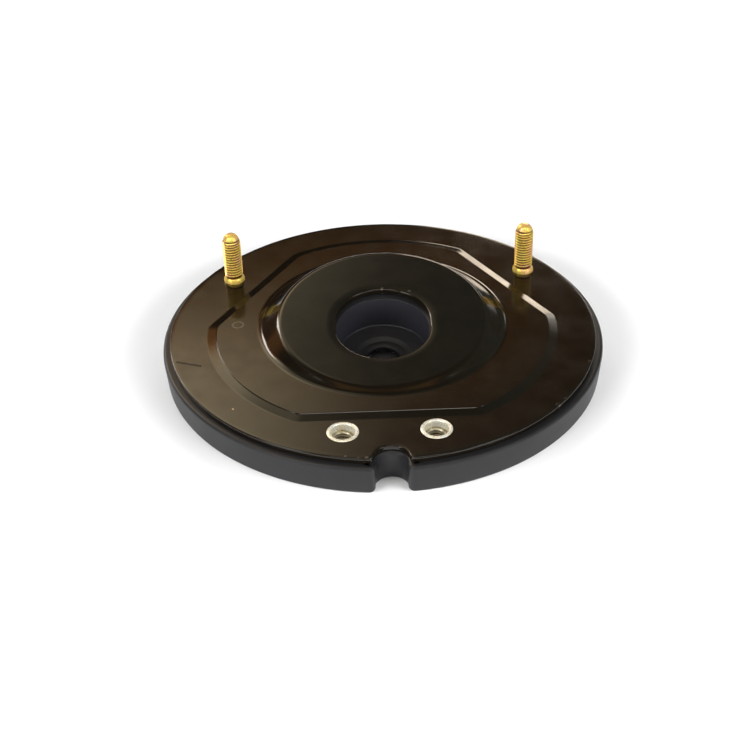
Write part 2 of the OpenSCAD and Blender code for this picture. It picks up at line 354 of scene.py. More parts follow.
@dataclass(frozen=True)
class ECoat:
    """Cathodic dip coat on pressed steel: a smooth, thin, nearly black film with a clear gloss.

    Chips and the ring mark are given as x, y and reach in millimetres, and the scuff by its two ends. Chips
    and scuff are ragged by so many millimetres, and the ring mark is a line that bares part of the steel.
    """

    name: str = "dip_coat_gloss_black"
    film: str = "#0D0A06"
    thin_film: str = "#130E08"
    bare_steel: str = "#8F8A80"
    roughness: float = 0.13
    chips: tuple[tuple[float, float, float], ...] = ()
    ring_mark: tuple[float, float, float] | None = None
    scuff: tuple[tuple[float, float], tuple[float, float]] | None = None
    ragged: float = 0.5
    ring_line: float = 0.35
    ring_bare: float = 0.25
    scuff_width: tuple[float, float] = (0.8, 0.2)
    scuff_dull: float = 0.35

    def material(self) -> Material:
        """Builds the film with its slow drift of tone, its fine waviness and its wear.

        Returns:
            The material.
        """
        material, tree, place = start_material(self.name)
        tone = mottled(tree, place, size=30, detail=3.0, tones=(self.film, self.thin_film))
        smear = add(tree, "TexNoise", {"Vector": place, "Scale": per_metre(9), "Detail": 4.0})
        gloss = add(
            tree, "MapRange",
            {"Value": smear, "From Min": 0.3, "From Max": 0.7,
             "To Min": self.roughness - 0.03, "To Max": self.roughness + 0.04},
        )
        # The film levels to a faint waviness of about 1.5 mm
        peel = add(tree, "TexNoise", {"Vector": place, "Scale": per_metre(1.5), "Detail": 1.0})
        bump = add(tree, "Bump", {"Height": peel, "Strength": 0.05, "Distance": 0.03 * MM})
        sockets = {"Base Color": tone, "Roughness": gloss, "Normal": bump, "IOR": 1.5}
        if self.chips:
            self.wear(tree, place, sockets)
        end_material(tree, sockets)
        return material

    def wear(self, tree: NodeTree, place: NodeSocket, sockets: dict) -> None:
        """Adds the chips, the worn ring mark and the dull scuff to the film.

        Args:
            tree: the material's nodes.
            place: its Object coordinates.
            sockets: the shader's inputs, which are changed.
        """
        flat = add(tree, "VectorMath", {0: place, 1: (1, 1, 0)}, operation="MULTIPLY")
        tear = add(tree, "TexNoise", {"Vector": place, "Scale": per_metre(0.8), "Detail": 2.0})
        rough_edge = add(
            tree, "MapRange", {"Value": tear, "To Min": -self.ragged * MM, "To Max": self.ragged * MM}
        )
        bare: Node | float = 0.0
        for x, y, reach in self.chips:
            far = add(tree, "VectorMath", {0: flat, 1: (x * MM, y * MM, 0)}, operation="DISTANCE")
            torn = add(tree, "Math", {0: far, 1: rough_edge}, operation="ADD")
            chip = add(tree, "MapRange", {"Value": torn, "From Min": reach * MM, "From Max": 0.8 * reach * MM})
            bare = add(tree, "Math", {0: bare, 1: chip}, operation="MAXIMUM")
        if self.ring_mark:
            x, y, reach = self.ring_mark
            far = add(tree, "VectorMath", {0: flat, 1: (x * MM, y * MM, 0)}, operation="DISTANCE")
            line = add(tree, "Math", {0: far, 1: reach * MM, 2: self.ring_line * MM}, operation="COMPARE")
            rubbed_and_unshaded = add(tree, "Math", {0: line, 1: self.ring_bare}, operation="MULTIPLY")
            bare = add(tree, "Math", {0: bare, 1: rubbed_and_unshaded}, operation="MAXIMUM")
        if self.scuff:
            start, end = (Vector((x * MM, y * MM, 0)) for x, y in self.scuff)
            way = end - start
            from_start = add(tree, "VectorMath", {0: flat, 1: start}, operation="SUBTRACT")
            dot = add(tree, "VectorMath", {0: from_start, 1: way}, operation="DOT_PRODUCT")
            share = add(tree, "Math", {0: dot, 1: way.length_squared}, operation="DIVIDE", use_clamp=True)
            along = add(tree, "VectorMath", {0: way, "Scale": share}, operation="SCALE")
            far = add(tree, "VectorMath", {0: from_start, 1: along}, operation="DISTANCE")
            torn = add(tree, "Math", {0: far, 1: rough_edge}, operation="ADD")
            outer, inner = self.scuff_width
            dull = add(
                tree, "MapRange",
                {"Value": torn, "From Min": outer * MM, "From Max": inner * MM, "To Max": self.scuff_dull},
            )
            sockets["Roughness"] = add(tree, "Math", {0: sockets["Roughness"], 1: dull}, operation="ADD")
        sockets["Base Color"] = add(
            tree, "Mix", {0: bare, 6: sockets["Base Color"], 7: linear(self.bare_steel)}, data_type="RGBA"
        )
        sockets["Metallic"] = bare


@dataclass(frozen=True)
class MouldedRubber:
    """Compression-moulded natural rubber with carbon black: matt, dark grey, with a fine grain."""

    name: str = "moulded_rubber"
    body: str = "#131315"
    bloom: str = "#1A1A1C"
    cup_tone: str = "#202025"
    cup_tone_r: float = 19.6
    roughness: float = 0.45

    def material(self) -> Material:
        """Builds the rubber with its bloom, a lighter tone inside the cup and the grain of its mould.

        Returns:
            The material.
        """
        material, tree, place = start_material(self.name)
        tone = mottled(tree, place, size=14, detail=4.0, tones=(self.body, self.bloom))
        # Inside the cup's radius round the strut axis the rubber takes a lighter tone
        axis = StrutAxis()
        strut = add(
            tree, "Mapping",
            {"Vector": place, "Location": (0, -axis.front * MM, axis.height * MM), "Rotation": (axis.rake, 0, 0)},
            vector_type="TEXTURE",
        )
        flat = add(tree, "VectorMath", {0: strut, 1: (1, 1, 0)}, operation="MULTIPLY")
        far = add(tree, "VectorMath", {0: flat}, operation="LENGTH")
        in_cup = add(tree, "Math", {0: far, 1: self.cup_tone_r * MM}, operation="LESS_THAN")
        tone = add(tree, "Mix", {0: in_cup, 6: tone, 7: linear(self.cup_tone)}, data_type="RGBA")
        # The mould's grain is about 0.2 mm, drawn at 0.5 mm so that it shows
        grain = add(tree, "TexNoise", {"Vector": place, "Scale": per_metre(0.5), "Detail": 2.0})
        bump = add(tree, "Bump", {"Height": grain, "Strength": 0.25, "Distance": 0.05 * MM})
        end_material(tree, {"Base Color": tone, "Roughness": self.roughness, "Normal": bump, "IOR": 1.47})
        return material


@dataclass(frozen=True)
class Zinc:
    """Zinc plating with a passivate film: a soft sheen, drifting tints and painted shade in the thread's roots.

    The thread's axis is given as x and y in millimetres, without sign, its root as a radius and its end as a
    height above which no shade is painted. The crests' share free of painted shade is from 0 to 1. The painted
    shade fades out between two distances from the root, and each tint starts where the film's pattern passes its
    mark.
    """

    name: str
    tints: tuple[str, str, str]
    root_shade: str
    axis: tuple[float, float]
    root: float
    end: float
    crest_unshaded: float
    metallic: float
    roughness: float = 0.28
    drift: float = 5.0
    fade: tuple[float, float] = (0.1, 0.5)
    tint_marks: tuple[float, float, float] = (0.38, 0.52, 0.66)

    def material(self) -> Material:
        """Builds the plating, whose film runs through its tints over a few millimetres.

        Returns:
            The material.
        """
        material, tree, place = start_material(self.name)
        wide = add(tree, "TexNoise", {"Vector": place, "Scale": per_metre(self.drift), "Detail": 3.0})
        tone: Node | tuple = linear(self.tints[0])
        for tint, low, high in zip(self.tints[1:], self.tint_marks, self.tint_marks[1:]):
            share = add(tree, "MapRange", {"Value": wide, "From Min": low, "From Max": high})
            tone = add(tree, "Mix", {0: share, 6: tone, 7: linear(tint)}, data_type="RGBA")
        # Painted shade: a darker colour fills the thread's roots and fades out towards the crests. Below the end
        # height the crests and the nut's mouth keep part of it.
        folded = add(tree, "VectorMath", {0: place}, operation="ABSOLUTE")
        flat = add(tree, "VectorMath", {0: folded, 1: (1, 1, 0)}, operation="MULTIPLY")
        middle = (self.axis[0] * MM, self.axis[1] * MM, 0)
        reach = add(tree, "VectorMath", {0: flat, 1: middle}, operation="DISTANCE")
        past = add(tree, "Math", {0: reach, 1: self.root * MM}, operation="SUBTRACT")
        near = add(tree, "Math", {0: past}, operation="ABSOLUTE")
        start, end = self.fade
        rubbed_and_unshaded = add(
            tree, "MapRange", {"Value": near, "From Min": start * MM, "From Max": end * MM, "To Max": self.crest_unshaded}
        )
        z = add(tree, "SeparateXYZ", {0: folded}).outputs["Z"]
        beyond = add(tree, "Math", {0: z, 1: self.end * MM}, operation="GREATER_THAN")
        unshaded = add(tree, "Math", {0: rubbed_and_unshaded, 1: beyond}, operation="MAXIMUM")
        tone = add(tree, "Mix", {0: unshaded, 6: linear(self.root_shade), 7: tone}, data_type="RGBA")
        grit = add(tree, "TexNoise", {"Vector": place, "Scale": per_metre(0.4), "Detail": 2.0})
        gloss = add(
            tree, "MapRange", {"Value": grit, "To Min": self.roughness - 0.05, "To Max": self.roughness + 0.05}
        )
        end_material(tree, {"Base Color": tone, "Roughness": gloss, "Metallic": self.metallic})
        return material


@dataclass(frozen=True)
class GroundSteel:
    """Hardened bearing steel, ground: bright, with fine lines that run round the ring."""

    name: str = "ground_bearing_steel"
    steel: str = "#B9B8B4"
    dull: str = "#A3A29E"

    def material(self) -> Material:
        """Builds the steel with its grinding lines, drawn about 0.6 mm apart so that they show.

        Returns:
            The material.
        """
        material, tree, place = start_material(self.name)
        centred = add(tree, "Mapping", {"Vector": place, "Location": (0, StrutAxis().front * MM, 0)})
        rings = add(
            tree, "TexWave",
            {"Vector": centred, "Scale": per_metre(0.6) / 20, "Distortion": 1.5, "Detail": 2.0},
            wave_type="RINGS", rings_direction="Z",
        )
        tone = add(
            tree, "Mix", {0: rings.outputs["Fac"], 6: linear(self.steel), 7: linear(self.dull)},
            data_type="RGBA",
        )
        gloss = add(tree, "MapRange", {"Value": rings.outputs["Fac"], "To Min": 0.2, "To Max": 0.34})
        end_material(tree, {"Base Color": tone, "Roughness": gloss, "Metallic": 1.0})
        return material


@dataclass(frozen=True)
class MouldedNylon:
    """Injection-moulded polyamide: off-white, slightly waxy."""

    name: str = "moulded_nylon"
    tone: str = "#D9D2BE"
    shade: str = "#C9C0A8"

    def material(self) -> Material:
        """Builds the nylon with its faint flow marks, a few millimetres wide.

        Returns:
            The material.
        """
        material, tree, place = start_material(self.name)
        tone = mottled(tree, place, size=4, detail=2.0, tones=(self.tone, self.shade))
        end_material(tree, {"Base Color": tone, "Roughness": 0.45, "IOR": 1.53})
        return material


# ---- Frames and curves that the pieces share


@dataclass(frozen=True)
class StrutAxis:
    """The raked axis of the damper rod. Its z = 0 lies on the disc's upper face."""

    front: float = 8.7
    height: float = 22.8
    rake: float = math.radians(7.6)

    def matrix(self) -> Matrix:
        """Carries points on the strut axis to the mount's frame."""
        return Matrix.Translation((0, -self.front, self.height)) @ Matrix.Rotation(self.rake, 4, "X")

    def to_mount(self, x: Array, y: Array, z: Array | float) -> Array:
        """Carries rows of points on the strut axis to the mount's frame.

        Args:
            x: distances along X.
            y: distances behind the axis, in the disc's plane.
            z: heights above the disc.

        Returns:
            One row of x, y, z for each point.
        """
        c, s = math.cos(self.rake), math.sin(self.rake)
        z = np.broadcast_to(z, np.shape(x))
        return np.stack([x, y * c - z * s - self.front, y * s + z * c + self.height], axis=1)

    def from_mount(self, y: Array, z: Array) -> tuple[Array, Array]:
        """Gives the distance behind the axis and the height above the disc for points of the mount."""
        c, s = math.cos(self.rake), math.sin(self.rake)
        back, up = y + self.front, z - self.height
        return back * c + up * s, up * c - back * s


@dataclass(frozen=True)
class Dial:
    """The directions that the rings share, close together at the front where the notch is."""

    steps: int = 480
    crowding: float = 0.6

    def angles(self) -> Array:
        """Returns the directions in radians from X, in the order of the spin's steps."""
        turn = np.arange(self.steps) / self.steps * TURN + math.pi / 2
        turn = (turn + math.pi) % TURN - math.pi
        return turn - self.crowding * np.sin(turn) - math.pi / 2


def soft_min(a: Array, b: Array | float, width: Array | float) -> Array:
    """Returns the lesser of two fields, rounded where they differ by less than the width."""
    near = np.maximum(width - np.abs(a - b), 0)
    return np.minimum(a, b) - near * near / (4 * width)


def soft_max(a: Array, b: Array | float, width: Array | float) -> Array:
    """Returns the greater of two fields, rounded where they differ by less than the width."""
    near = np.maximum(width - np.abs(a - b), 0)
    return np.maximum(a, b) + near * near / (4 * width)


def bend_width(radius: float, turn: float) -> float:
    """Gives the rounding width that bends a sheet by an angle on about that radius.

    Args:
        radius: radius of the bend in millimetres.
        turn: how far the sheet turns, in degrees.

    Returns:
        The width for soft_min and soft_max.
    """
    half = math.radians(turn) / 2
    return radius * 2 * math.sin(half) ** 2 / math.cos(half)


@dataclass(frozen=True)
class NotchedEdge:
    """A round edge with the locating notch at its front."""

    radius: float
    notch: float
    corner: float
    notch_y: float = 88.4

    def centres(self) -> tuple[float, float]:
        """Returns the place of the right corner's centre."""
        reach, spread = self.radius - self.corner, self.notch + self.corner
        y = -(reach**2 + self.notch_y**2 - spread**2) / (2 * self.notch_y)
        return math.sqrt(reach**2 - y**2), y

    def ring(self, angles: Array, inset: float = 0.0) -> Array:
        """Gives the edge's points.

        Args:
            angles: the dial's directions.
            inset: how far the ring lies inside the edge.

        Returns:
            One row of x, y for each direction.
        """
        points = (self.radius - inset) * np.stack([np.cos(angles), np.sin(angles)], axis=1)
        x, y = self.centres()
        start = math.atan2(y, x)
        window = np.where(np.abs(angles + math.pi / 2) <= start + math.pi / 2)[0]
        window = window[np.argsort(angles[window])]
        rise = math.atan2(y + self.notch_y, x)
        corner_turn = start - (rise - math.pi)
        notch_turn = math.pi - 2 * rise
        lengths = np.array([corner_turn * self.corner, notch_turn * self.notch, corner_turn * self.corner])
        marks = np.concatenate([[0], np.cumsum(lengths)])
        for along, index in zip(np.linspace(0, marks[-1], len(window)), window):
            if marks[1] <= along <= marks[2]:
                turn = math.pi - rise - (along - marks[1]) / self.notch
                r, cx, cy = self.notch + inset, 0.0, -self.notch_y
            else:
                left = along < marks[1]
                used = along if left else marks[3] - along
                turn = start - used / self.corner
                turn = math.pi - turn if left else turn
                r, cx, cy = self.corner - inset, -x if left else x, y
            points[index] = (cx + r * math.cos(turn), cy + r * math.sin(turn))
        return points


@dataclass(frozen=True)
class Pressing:
    """The form that plate and rubber share: flange, three-flat plateau and raked boss.

    The plateau's edge is a low steep riser above a long ramp. Heights are searched for inside two limits.
    """

    axis: StrutAxis = field(default_factory=StrutAxis)
    limits: tuple[float, float] = (-20.0, 60.0)
    halvings: int = 40
    flange_z: float = 15.0
    plateau_rise: float = 1.0
    plateau_r: float = 69.8
    front_flat: float = 60.4
    stud_flat: float = 61.4
    stud_flat_angle: float = math.radians(31)
    riser_slope: float = 50.0
    riser_h: float = 0.28
    ramp_slope: float = 11.0
    corner_r: float = 7.0
    brow_r: float = 0.45
    riser_r: float = 0.5
    root_r: float = 4.0
    disc_r: float = 43.4
    disc_back: float = 3.85
    wall: float = math.radians(44)
    disc_bend: float = 3.0
    foot_bend: float = 3.5
    front_ease: float = 0.9

    def inside_plateau(self, x: Array, y: Array) -> Array:
        """Measures how far points lie inside the plateau's upper edge.

        Args:
            x: distances along X.
            y: distances along Y.

        Returns:
            One distance for each point, negative outside the edge.
        """
        c, s = math.cos(self.stud_flat_angle), math.sin(self.stud_flat_angle)
        width = bend_width(self.corner_r, 30)
        depth = soft_min(self.plateau_r - np.hypot(x, y), self.front_flat + y, width)
        return soft_min(depth, self.stud_flat - np.abs(x) * c - y * s, width)

    def height(self, x: Array, y: Array, drop: float = 0.0) -> Array:
        """Finds the height of the sheet, or of a face that lies below it.

        Args:
            x: distances along X.
            y: distances along Y.
            drop: how far below the sheet's upper face the wanted face lies.

        Returns:
            One height for each point.
        """
        inside, steep = self.inside_plateau(x, y), math.tan(math.radians(self.riser_slope))
        riser = self.plateau_rise + inside * steep
        ramp = (inside + self.riser_h / steep) * math.tan(math.radians(self.ramp_slope))
        ramp += self.plateau_rise - self.riser_h
        edge = soft_max(riser, ramp, bend_width(self.riser_r, self.riser_slope - self.ramp_slope))
        step = soft_min(edge, self.plateau_rise, bend_width(self.brow_r, self.riser_slope))
        level = self.flange_z - drop + soft_max(step, 0.0, bend_width(self.root_r, self.ramp_slope))
        # The wall is low at the front, and its bends are wider there
        ease = 1 + self.front_ease * np.clip(-(y + self.axis.front) / self.disc_r, 0, 1)
        wall = math.degrees(self.wall)
        disc_bend, foot_bend = (ease * bend_width(r, wall) for r in (self.disc_bend, self.foot_bend))
        low, high = (np.full(x.shape, z) for z in self.limits)
        for _ in range(self.halvings):
            z = (low + high) / 2
            back, up = self.axis.from_mount(y, z)
            inward = self.disc_r - np.hypot(x, back - self.disc_back)
            cone = inward * math.sin(self.wall) - up * math.cos(self.wall)
            boss = soft_min(-up - drop, cone - drop, disc_bend)
            under = soft_max(level - z, boss, foot_bend) > 0
            low, high = np.where(under, z, low), np.where(under, high, z)
        return (low + high) / 2

    def lifted(self, plan: Array, drop: float = 0.0) -> Array:
        """Lifts a plan to the sheet, or to a face that lies below it by drop."""
        return np.column_stack([plan, self.height(plan[:, 0], plan[:, 1], drop)])

    def plateau_ring(self, angles: Array, past: float) -> Array:
        """Gives the plan of the plateau's edge, moved out by past.

        Args:
            angles: the dial's directions.
            past: distance outside the plateau's edge.

        Returns:
            One row of x, y for each direction.
        """
        c, s = np.cos(angles), np.sin(angles)
        across = np.abs(c) * math.cos(self.stud_flat_angle) + s * math.sin(self.stud_flat_angle)
        front = (self.front_flat + past) / np.maximum(-s, 1e-6)
        beside = (self.stud_flat + past) / np.maximum(across, 1e-6)
        reach = np.minimum(self.plateau_r + past, np.minimum(front, beside))
        return np.stack([reach * c, reach * s], axis=1)

    def disc_ring(self, angles: Array, past: float) -> Array:
        """Gives the plan of the disc's edge, moved out by past.

        Args:
            angles: the dial's directions.
            past: distance outside the disc's edge.

        Returns:
            One row of x, y for each direction.
        """
        reach = self.disc_r + past
        x, y = reach * np.cos(angles), self.disc_back + reach * np.sin(angles)
        return self.axis.to_mount(x, y, 0.0)[:, :2]

    def foot_ring(self, angles: Array, past: float) -> Array:
        """Gives the plan of the line where the boss's wall meets the plateau, moved out by past.

        Args:
            angles: the dial's directions.
            past: distance outside that line.

        Returns:
            One row of x, y for each direction.
        """
        slope, rake = math.tan(self.wall), self.axis.rake
        above = self.axis.height - self.flange_z - self.plateau_rise + self.disc_back * math.sin(rake)
        fall = slope * math.cos(rake)
        reach = (above + self.disc_r * fall) / (fall - np.sin(angles) * math.sin(rake))
        depth = -(reach - self.disc_r) * slope
        spread = reach + past
        return self.axis.to_mount(spread * np.cos(angles), self.disc_back + spread * np.sin(angles), depth)[:, :2]


@dataclass(frozen=True)
class OvalHole:
    """The oval hole in the disc, over the rod cup."""

    half_width: float = 19.6
    stretch: float = 4.2

    def ring(self, angles: Array, past: float) -> tuple[Array, Array]:
        """Gives the hole's edge in the disc's plane, moved out by past.

        Args:
            angles: the dial's directions.
            past: distance outside the hole's edge.

        Returns:
            The x and y of the points on the strut axis.
        """
        r, half = self.half_width + past, self.stretch / 2
        c, s = np.abs(np.cos(angles)), np.abs(np.sin(angles))
        side = r / np.maximum(c, 1e-9)
        end = half * s + np.sqrt(r * r - (half * c) ** 2)
        reach = np.where(side * s <= half, side, end)
        return reach * np.cos(angles), reach * np.sin(angles)


# ---- Sub-assemblies


@dataclass
class PressedPlate:
    """The e-coated plate: one sheet with flange, plateau, raked boss, oval hole and notch.

    The rings of its mesh crowd where the sheet bends. The marks say how far past the disc's edge, the boss's
    foot and the plateau's edge a group of rings ends, and the counts how many rings each group has.
    """

    form: Pressing
    dial: Dial
    hole: OvalHole = field(default_factory=OvalHole)
    edge: NotchedEdge = field(default_factory=lambda: NotchedEdge(89.4, 7.0, 2.0))
    sheet: float = 2.3
    edge_round: float = 0.55
    lower_round: float = 0.15
    hole_round: float = 0.8
    stud_holes: float = 4.65
    nut_holes: float = 6.25
    disc_mark: float = -3.0
    foot_mark: float = 4.0
    plateau_marks: tuple[float, ...] = (-1.4, -0.3, 0.5, 3.3, 5.0)
    counts: tuple[int, ...] = (6, 44, 4, 3, 14, 4, 12, 12)

    def plan(self) -> list[Array]:
        """Lays out the rings of the upper face.

        Returns:
            The plan of each ring, from the oval hole out to the edge.
        """
        angles, form = self.dial.angles(), self.form
        x, y = self.hole.ring(angles, self.hole_round)
        marks = [
            form.axis.to_mount(x, y, 0.0)[:, :2],
            form.disc_ring(angles, self.disc_mark),
            form.foot_ring(angles, self.foot_mark),
            *(form.plateau_ring(angles, past) for past in self.plateau_marks),
            self.edge.ring(angles, self.edge_round),
        ]
        rings = [marks[0]]
        for start, end, count in zip(marks, marks[1:], self.counts):
            rings += [start + (end - start) * (i + 1) / count for i in range(count)]
        return rings

    def build(self) -> Object:
        """Presses the sheet, rounds its cut edges and pierces it for the fasteners.

        Returns:
            The plate.
        """
        angles, form = self.dial.angles(), self.form
        plan, low = self.plan(), form.flange_z - self.sheet
        top = [form.lifted(p) for p in plan]
        rim = [
            level(self.edge.ring(angles, inset), form.flange_z - fall)
            for inset, fall in quarter(self.edge_round, np.linspace(0.2, 1, 5))
        ]
        rim.append(level(self.edge.ring(angles), low + self.lower_round))
        rim.append(level(self.edge.ring(angles, self.lower_round), low))
        # The underside is plain, so it takes every fourth ring back to the disc
        below = [form.lifted(p, self.sheet) for p in plan[-4:3:-4]]
        edge = [(0.0, self.sheet), (0.0, self.hole_round), *quarter(self.hole_round, np.linspace(0.8, 0.2, 4))]
        lip = [form.axis.to_mount(*self.hole.ring(angles, past), -fall) for past, fall in edge]
        plate = lofted(top + rim + below + lip, "pressed_plate", sharp=50)
        stud, nut = Stud(Side.RIGHT), ClinchNut(Side.RIGHT)
        ends = (form.flange_z - 2 * self.sheet, form.flange_z + self.sheet)
        holes = [(s.value * stud.across, stud.back, self.stud_holes, *ends) for s in Side]
        holes += [(s.value * nut.across, -nut.front, self.nut_holes, *ends) for s in Side]
        pierced(plate, holes, 50)
        return plate


@dataclass
class RubberIsolator:
    """The moulding bonded under the plate: rim, skin, core and the lining of the rod cup.

    Heights of core, bore, lip and pocket are on the strut axis. The pocket holds the cup: radius of its neck and
    of its flange, the flange's lower and upper face, and the radius of the cup's wall.
    """

    form: Pressing
    dial: Dial
    plate_edge: float = 89.4
    rim_top: float = 12.65
    rim_r: float = 92.4
    rim_draft: float = 0.8
    rim_inner: float = 78.0
    rim_edge: float = 1.4
    notch: float = 6.2
    notch_corner: float = 2.4
    under_plate: float = 2.35
    under_skin: float = 3.95
    fill_z: float = 11.05
    core_r: float = 41.4
    core_low: float = -8.8
    bore_r: float = 19.5
    bore_low: float = -17.95
    lip_r: float = 26.05
    lip_z: float = -3.45
    lip_round: float = 0.15
    pocket: tuple[float, float, float, float, float] = (23.8, 34.3, -6.65, -4.55, 21.7)
    # The fillet at the foot of the bore, as distances inside the wall and above the floor
    fillet: tuple[tuple[float, float], ...] = ((0.8, 0.0), (0.55, 0.05), (0.23, 0.23), (0.05, 0.55), (0.0, 0.8))
    bond: float = 0.05

    def strut_ring(self, reach: float, z: float) -> Array:
        """Gives a ring round the strut axis."""
        angles = self.dial.angles()
        return self.form.axis.to_mount(reach * np.cos(angles), reach * np.sin(angles), z)

    def wall_ring(self, radius: float, inset: float, z: float) -> Array:
        """Gives a level ring of the rim, notched at the front."""
        edge = NotchedEdge(radius, self.notch, self.notch_corner)
        return level(edge.ring(self.dial.angles(), inset), z)

    def build(self) -> Object:
        """Lofts the whole moulding as one closed section.

        Returns:
            The isolator.
        """
        angles, form = self.dial.angles(), self.form
        circle = np.stack([np.cos(angles), np.sin(angles)], axis=1)
        lip, inner = self.lip_round, self.rim_inner
        rings = [
            self.strut_ring(self.bore_r, self.lip_z - lip),
            self.strut_ring(self.bore_r + lip / 3, self.lip_z - lip / 3),
            self.strut_ring(self.bore_r + lip, self.lip_z),
            self.strut_ring(self.lip_r, self.lip_z),
            self.strut_ring(self.lip_r, -self.under_plate),
        ]
        # The bonded face follows the plate's bends out to the rim
        bonded = [
            form.disc_ring(angles, -4.0), form.disc_ring(angles, 0.0), form.foot_ring(angles, 0.0),
            form.plateau_ring(angles, -2.0), form.plateau_ring(angles, 5.0), (inner + 2.0) * circle,
        ]
        rings += [form.lifted(p, self.under_plate) for p in bonded]
        rings.append(self.wall_ring(self.rim_r, 4.0, self.rim_top))
        for inset, fall in quarter(self.rim_edge, np.linspace(0, 1, 6)):
            rings.append(self.wall_ring(self.rim_r, inset, self.rim_top - fall))
        for inset, rise in quarter(self.rim_edge, np.linspace(1, 0, 6)):
            rings.append(self.wall_ring(self.rim_r - self.rim_draft, inset, rise))
        # The rim's inner wall, and the skin under the plate back to the boss
        for reach, z in ((inner + 1, 0.0), (inner + 0.3, 0.3), (inner, 1.0), (inner, 10.0)):
            rings.append(level(reach * circle, z))
        skin = [(inner - 1.2) * circle, *(form.plateau_ring(angles, past) for past in (4.6, 2.0, -1.0))]
        rings += [form.lifted(p, self.under_skin) for p in skin]
        rings.append(level(form.foot_ring(angles, -0.5), form.flange_z + form.plateau_rise - self.under_skin))
        rings.append(level(form.foot_ring(angles, -1.6), self.fill_z))
        # The core stands on the strut axis, and its wall ends level with the fill
        core = self.strut_ring(self.core_r, self.core_low)
        shift = (self.fill_z - core[:, 2]) * math.tan(form.axis.rake)
        rings.append(level(np.column_stack([core[:, 0], core[:, 1] - shift]), self.fill_z))
        rings.append(core)
        neck, flange_r, flange_low, flange_high, cup_r = self.pocket
        low = self.bore_low
        pocket = (
            (neck, self.core_low), (neck, flange_low), (flange_r, flange_low), (flange_r, flange_high),
            (cup_r, flange_high), (cup_r, low + 1.8), (cup_r - 0.6, low + 0.5), (cup_r - 1.75, low),
            *((self.bore_r - inside, low + above) for inside, above in self.fillet), (self.bore_r, -10.0),
        )
        rings += [self.strut_ring(r, z) for r, z in pocket]
        moulding = lofted(rings, "isolator_moulding", sharp=50)
        stud, nut = Stud(Side.RIGHT), ClinchNut(Side.RIGHT)
        seat = stud.flange_z - stud.sheet - stud.head_t - self.bond
        holes = [(s.value * stud.across, stud.back, stud.head_r + self.bond, seat, form.flange_z) for s in Side]
        holes += [(s.value * nut.across, -nut.front, nut.barrel_r + self.bond, -5.0, form.flange_z) for s in Side]
        pierced(moulding, holes, 50)
        return moulding


@dataclass
class RodCup:
    """The pressed cup that the damper rod is bolted to."""

    axis: StrutAxis
    inner: float = 21.75
    sheet: float = 2.0
    flange_r: float = 34.25
    flange_z: float = -4.6
    floor: float = -18.0
    bend: float = 4.0
    dish_r: float = 10.5
    dish: float = 1.4
    rod_hole: float = 7.0

    def section(self) -> Outline:
        """Draws the cup's section, from the flange in to the rod hole and out again.

        Returns:
            Radius and height pairs.
        """
        outer, low, tight = self.inner + self.sheet, self.floor - self.sheet, self.bend - self.sheet

        def arc(x: float, z: float, r: float, a: float, b: float) -> Outline:
            """Gives the points of an arc between two angles in degrees."""
            turns = np.radians(np.linspace(a, b, 9))
            return [(x + r * math.cos(t), z + r * math.sin(t)) for t in turns]

        return [
            (self.flange_r, self.flange_z), (self.inner, self.flange_z),
            *arc(self.inner - tight, self.floor + tight, tight, 0, -90),
            (self.dish_r + self.dish + 0.5, self.floor), (self.dish_r + self.dish - 0.2, self.floor - 0.25),
            (self.dish_r, self.floor - self.dish + 0.1), (self.dish_r - 0.6, self.floor - self.dish),
            (self.rod_hole + 0.5, self.floor - self.dish), (self.rod_hole, self.floor - self.dish - 0.5),
            (self.rod_hole, low - self.dish), (self.dish_r, low - self.dish), (self.dish_r + self.dish, low),
            *arc(outer - self.bend, low + self.bend, self.bend, -90, 0),
            (outer, self.flange_z - self.sheet), (self.flange_r, self.flange_z - self.sheet),
        ]

    def build(self) -> Object:
        """Spins the cup round the strut axis."""
        bm = bmesh.new()
        spun(bm, self.section(), self.axis.matrix())
        return finished(bm, "cup_pressing", sharp=50)


@dataclass
class BallGroove:
    """Round groove that the balls run in, in each race."""

    pitch_r: float = 31.0
    ball_z: float = -13.95
    radius: float = 2.15
    face_gap: float = 1.2
    steps: int = 12

    def arc(self, start: float) -> Outline:
        """Gives the groove's part of a race's section.

        Args:
            start: direction of the race's face in degrees, 0 for the race above and 180 for the one below.

        Returns:
            Radius and height pairs from one edge of the groove to the other.
        """
        edge = math.asin(self.face_gap / self.radius)
        turns = np.linspace(edge, math.pi - edge, self.steps + 1) + math.radians(start)
        return [(self.pitch_r + self.radius * math.cos(t), self.ball_z + self.radius * math.sin(t)) for t in turns]


@dataclass
class BearingRing:
    """One turned or pressed ring of the thrust bearing."""

    axis: StrutAxis
    name: str
    section: Outline
    ease: float = 0.25

    def build(self) -> Object:
        """Spins the ring round the strut axis and breaks its edges."""
        bm = bmesh.new()
        spun(bm, self.section, self.axis.matrix())
        eased(bm, self.ease)
        return finished(bm, self.name)


@dataclass
class Fastener:
    """What studs and nuts share: their side, the sheet that they sit in and their M8 thread."""

    side: Side
    flange_z: float = 15.0
    sheet: float = 2.3
    bond: float = 0.05
    pitch: float = 1.25
    steps: int = 64


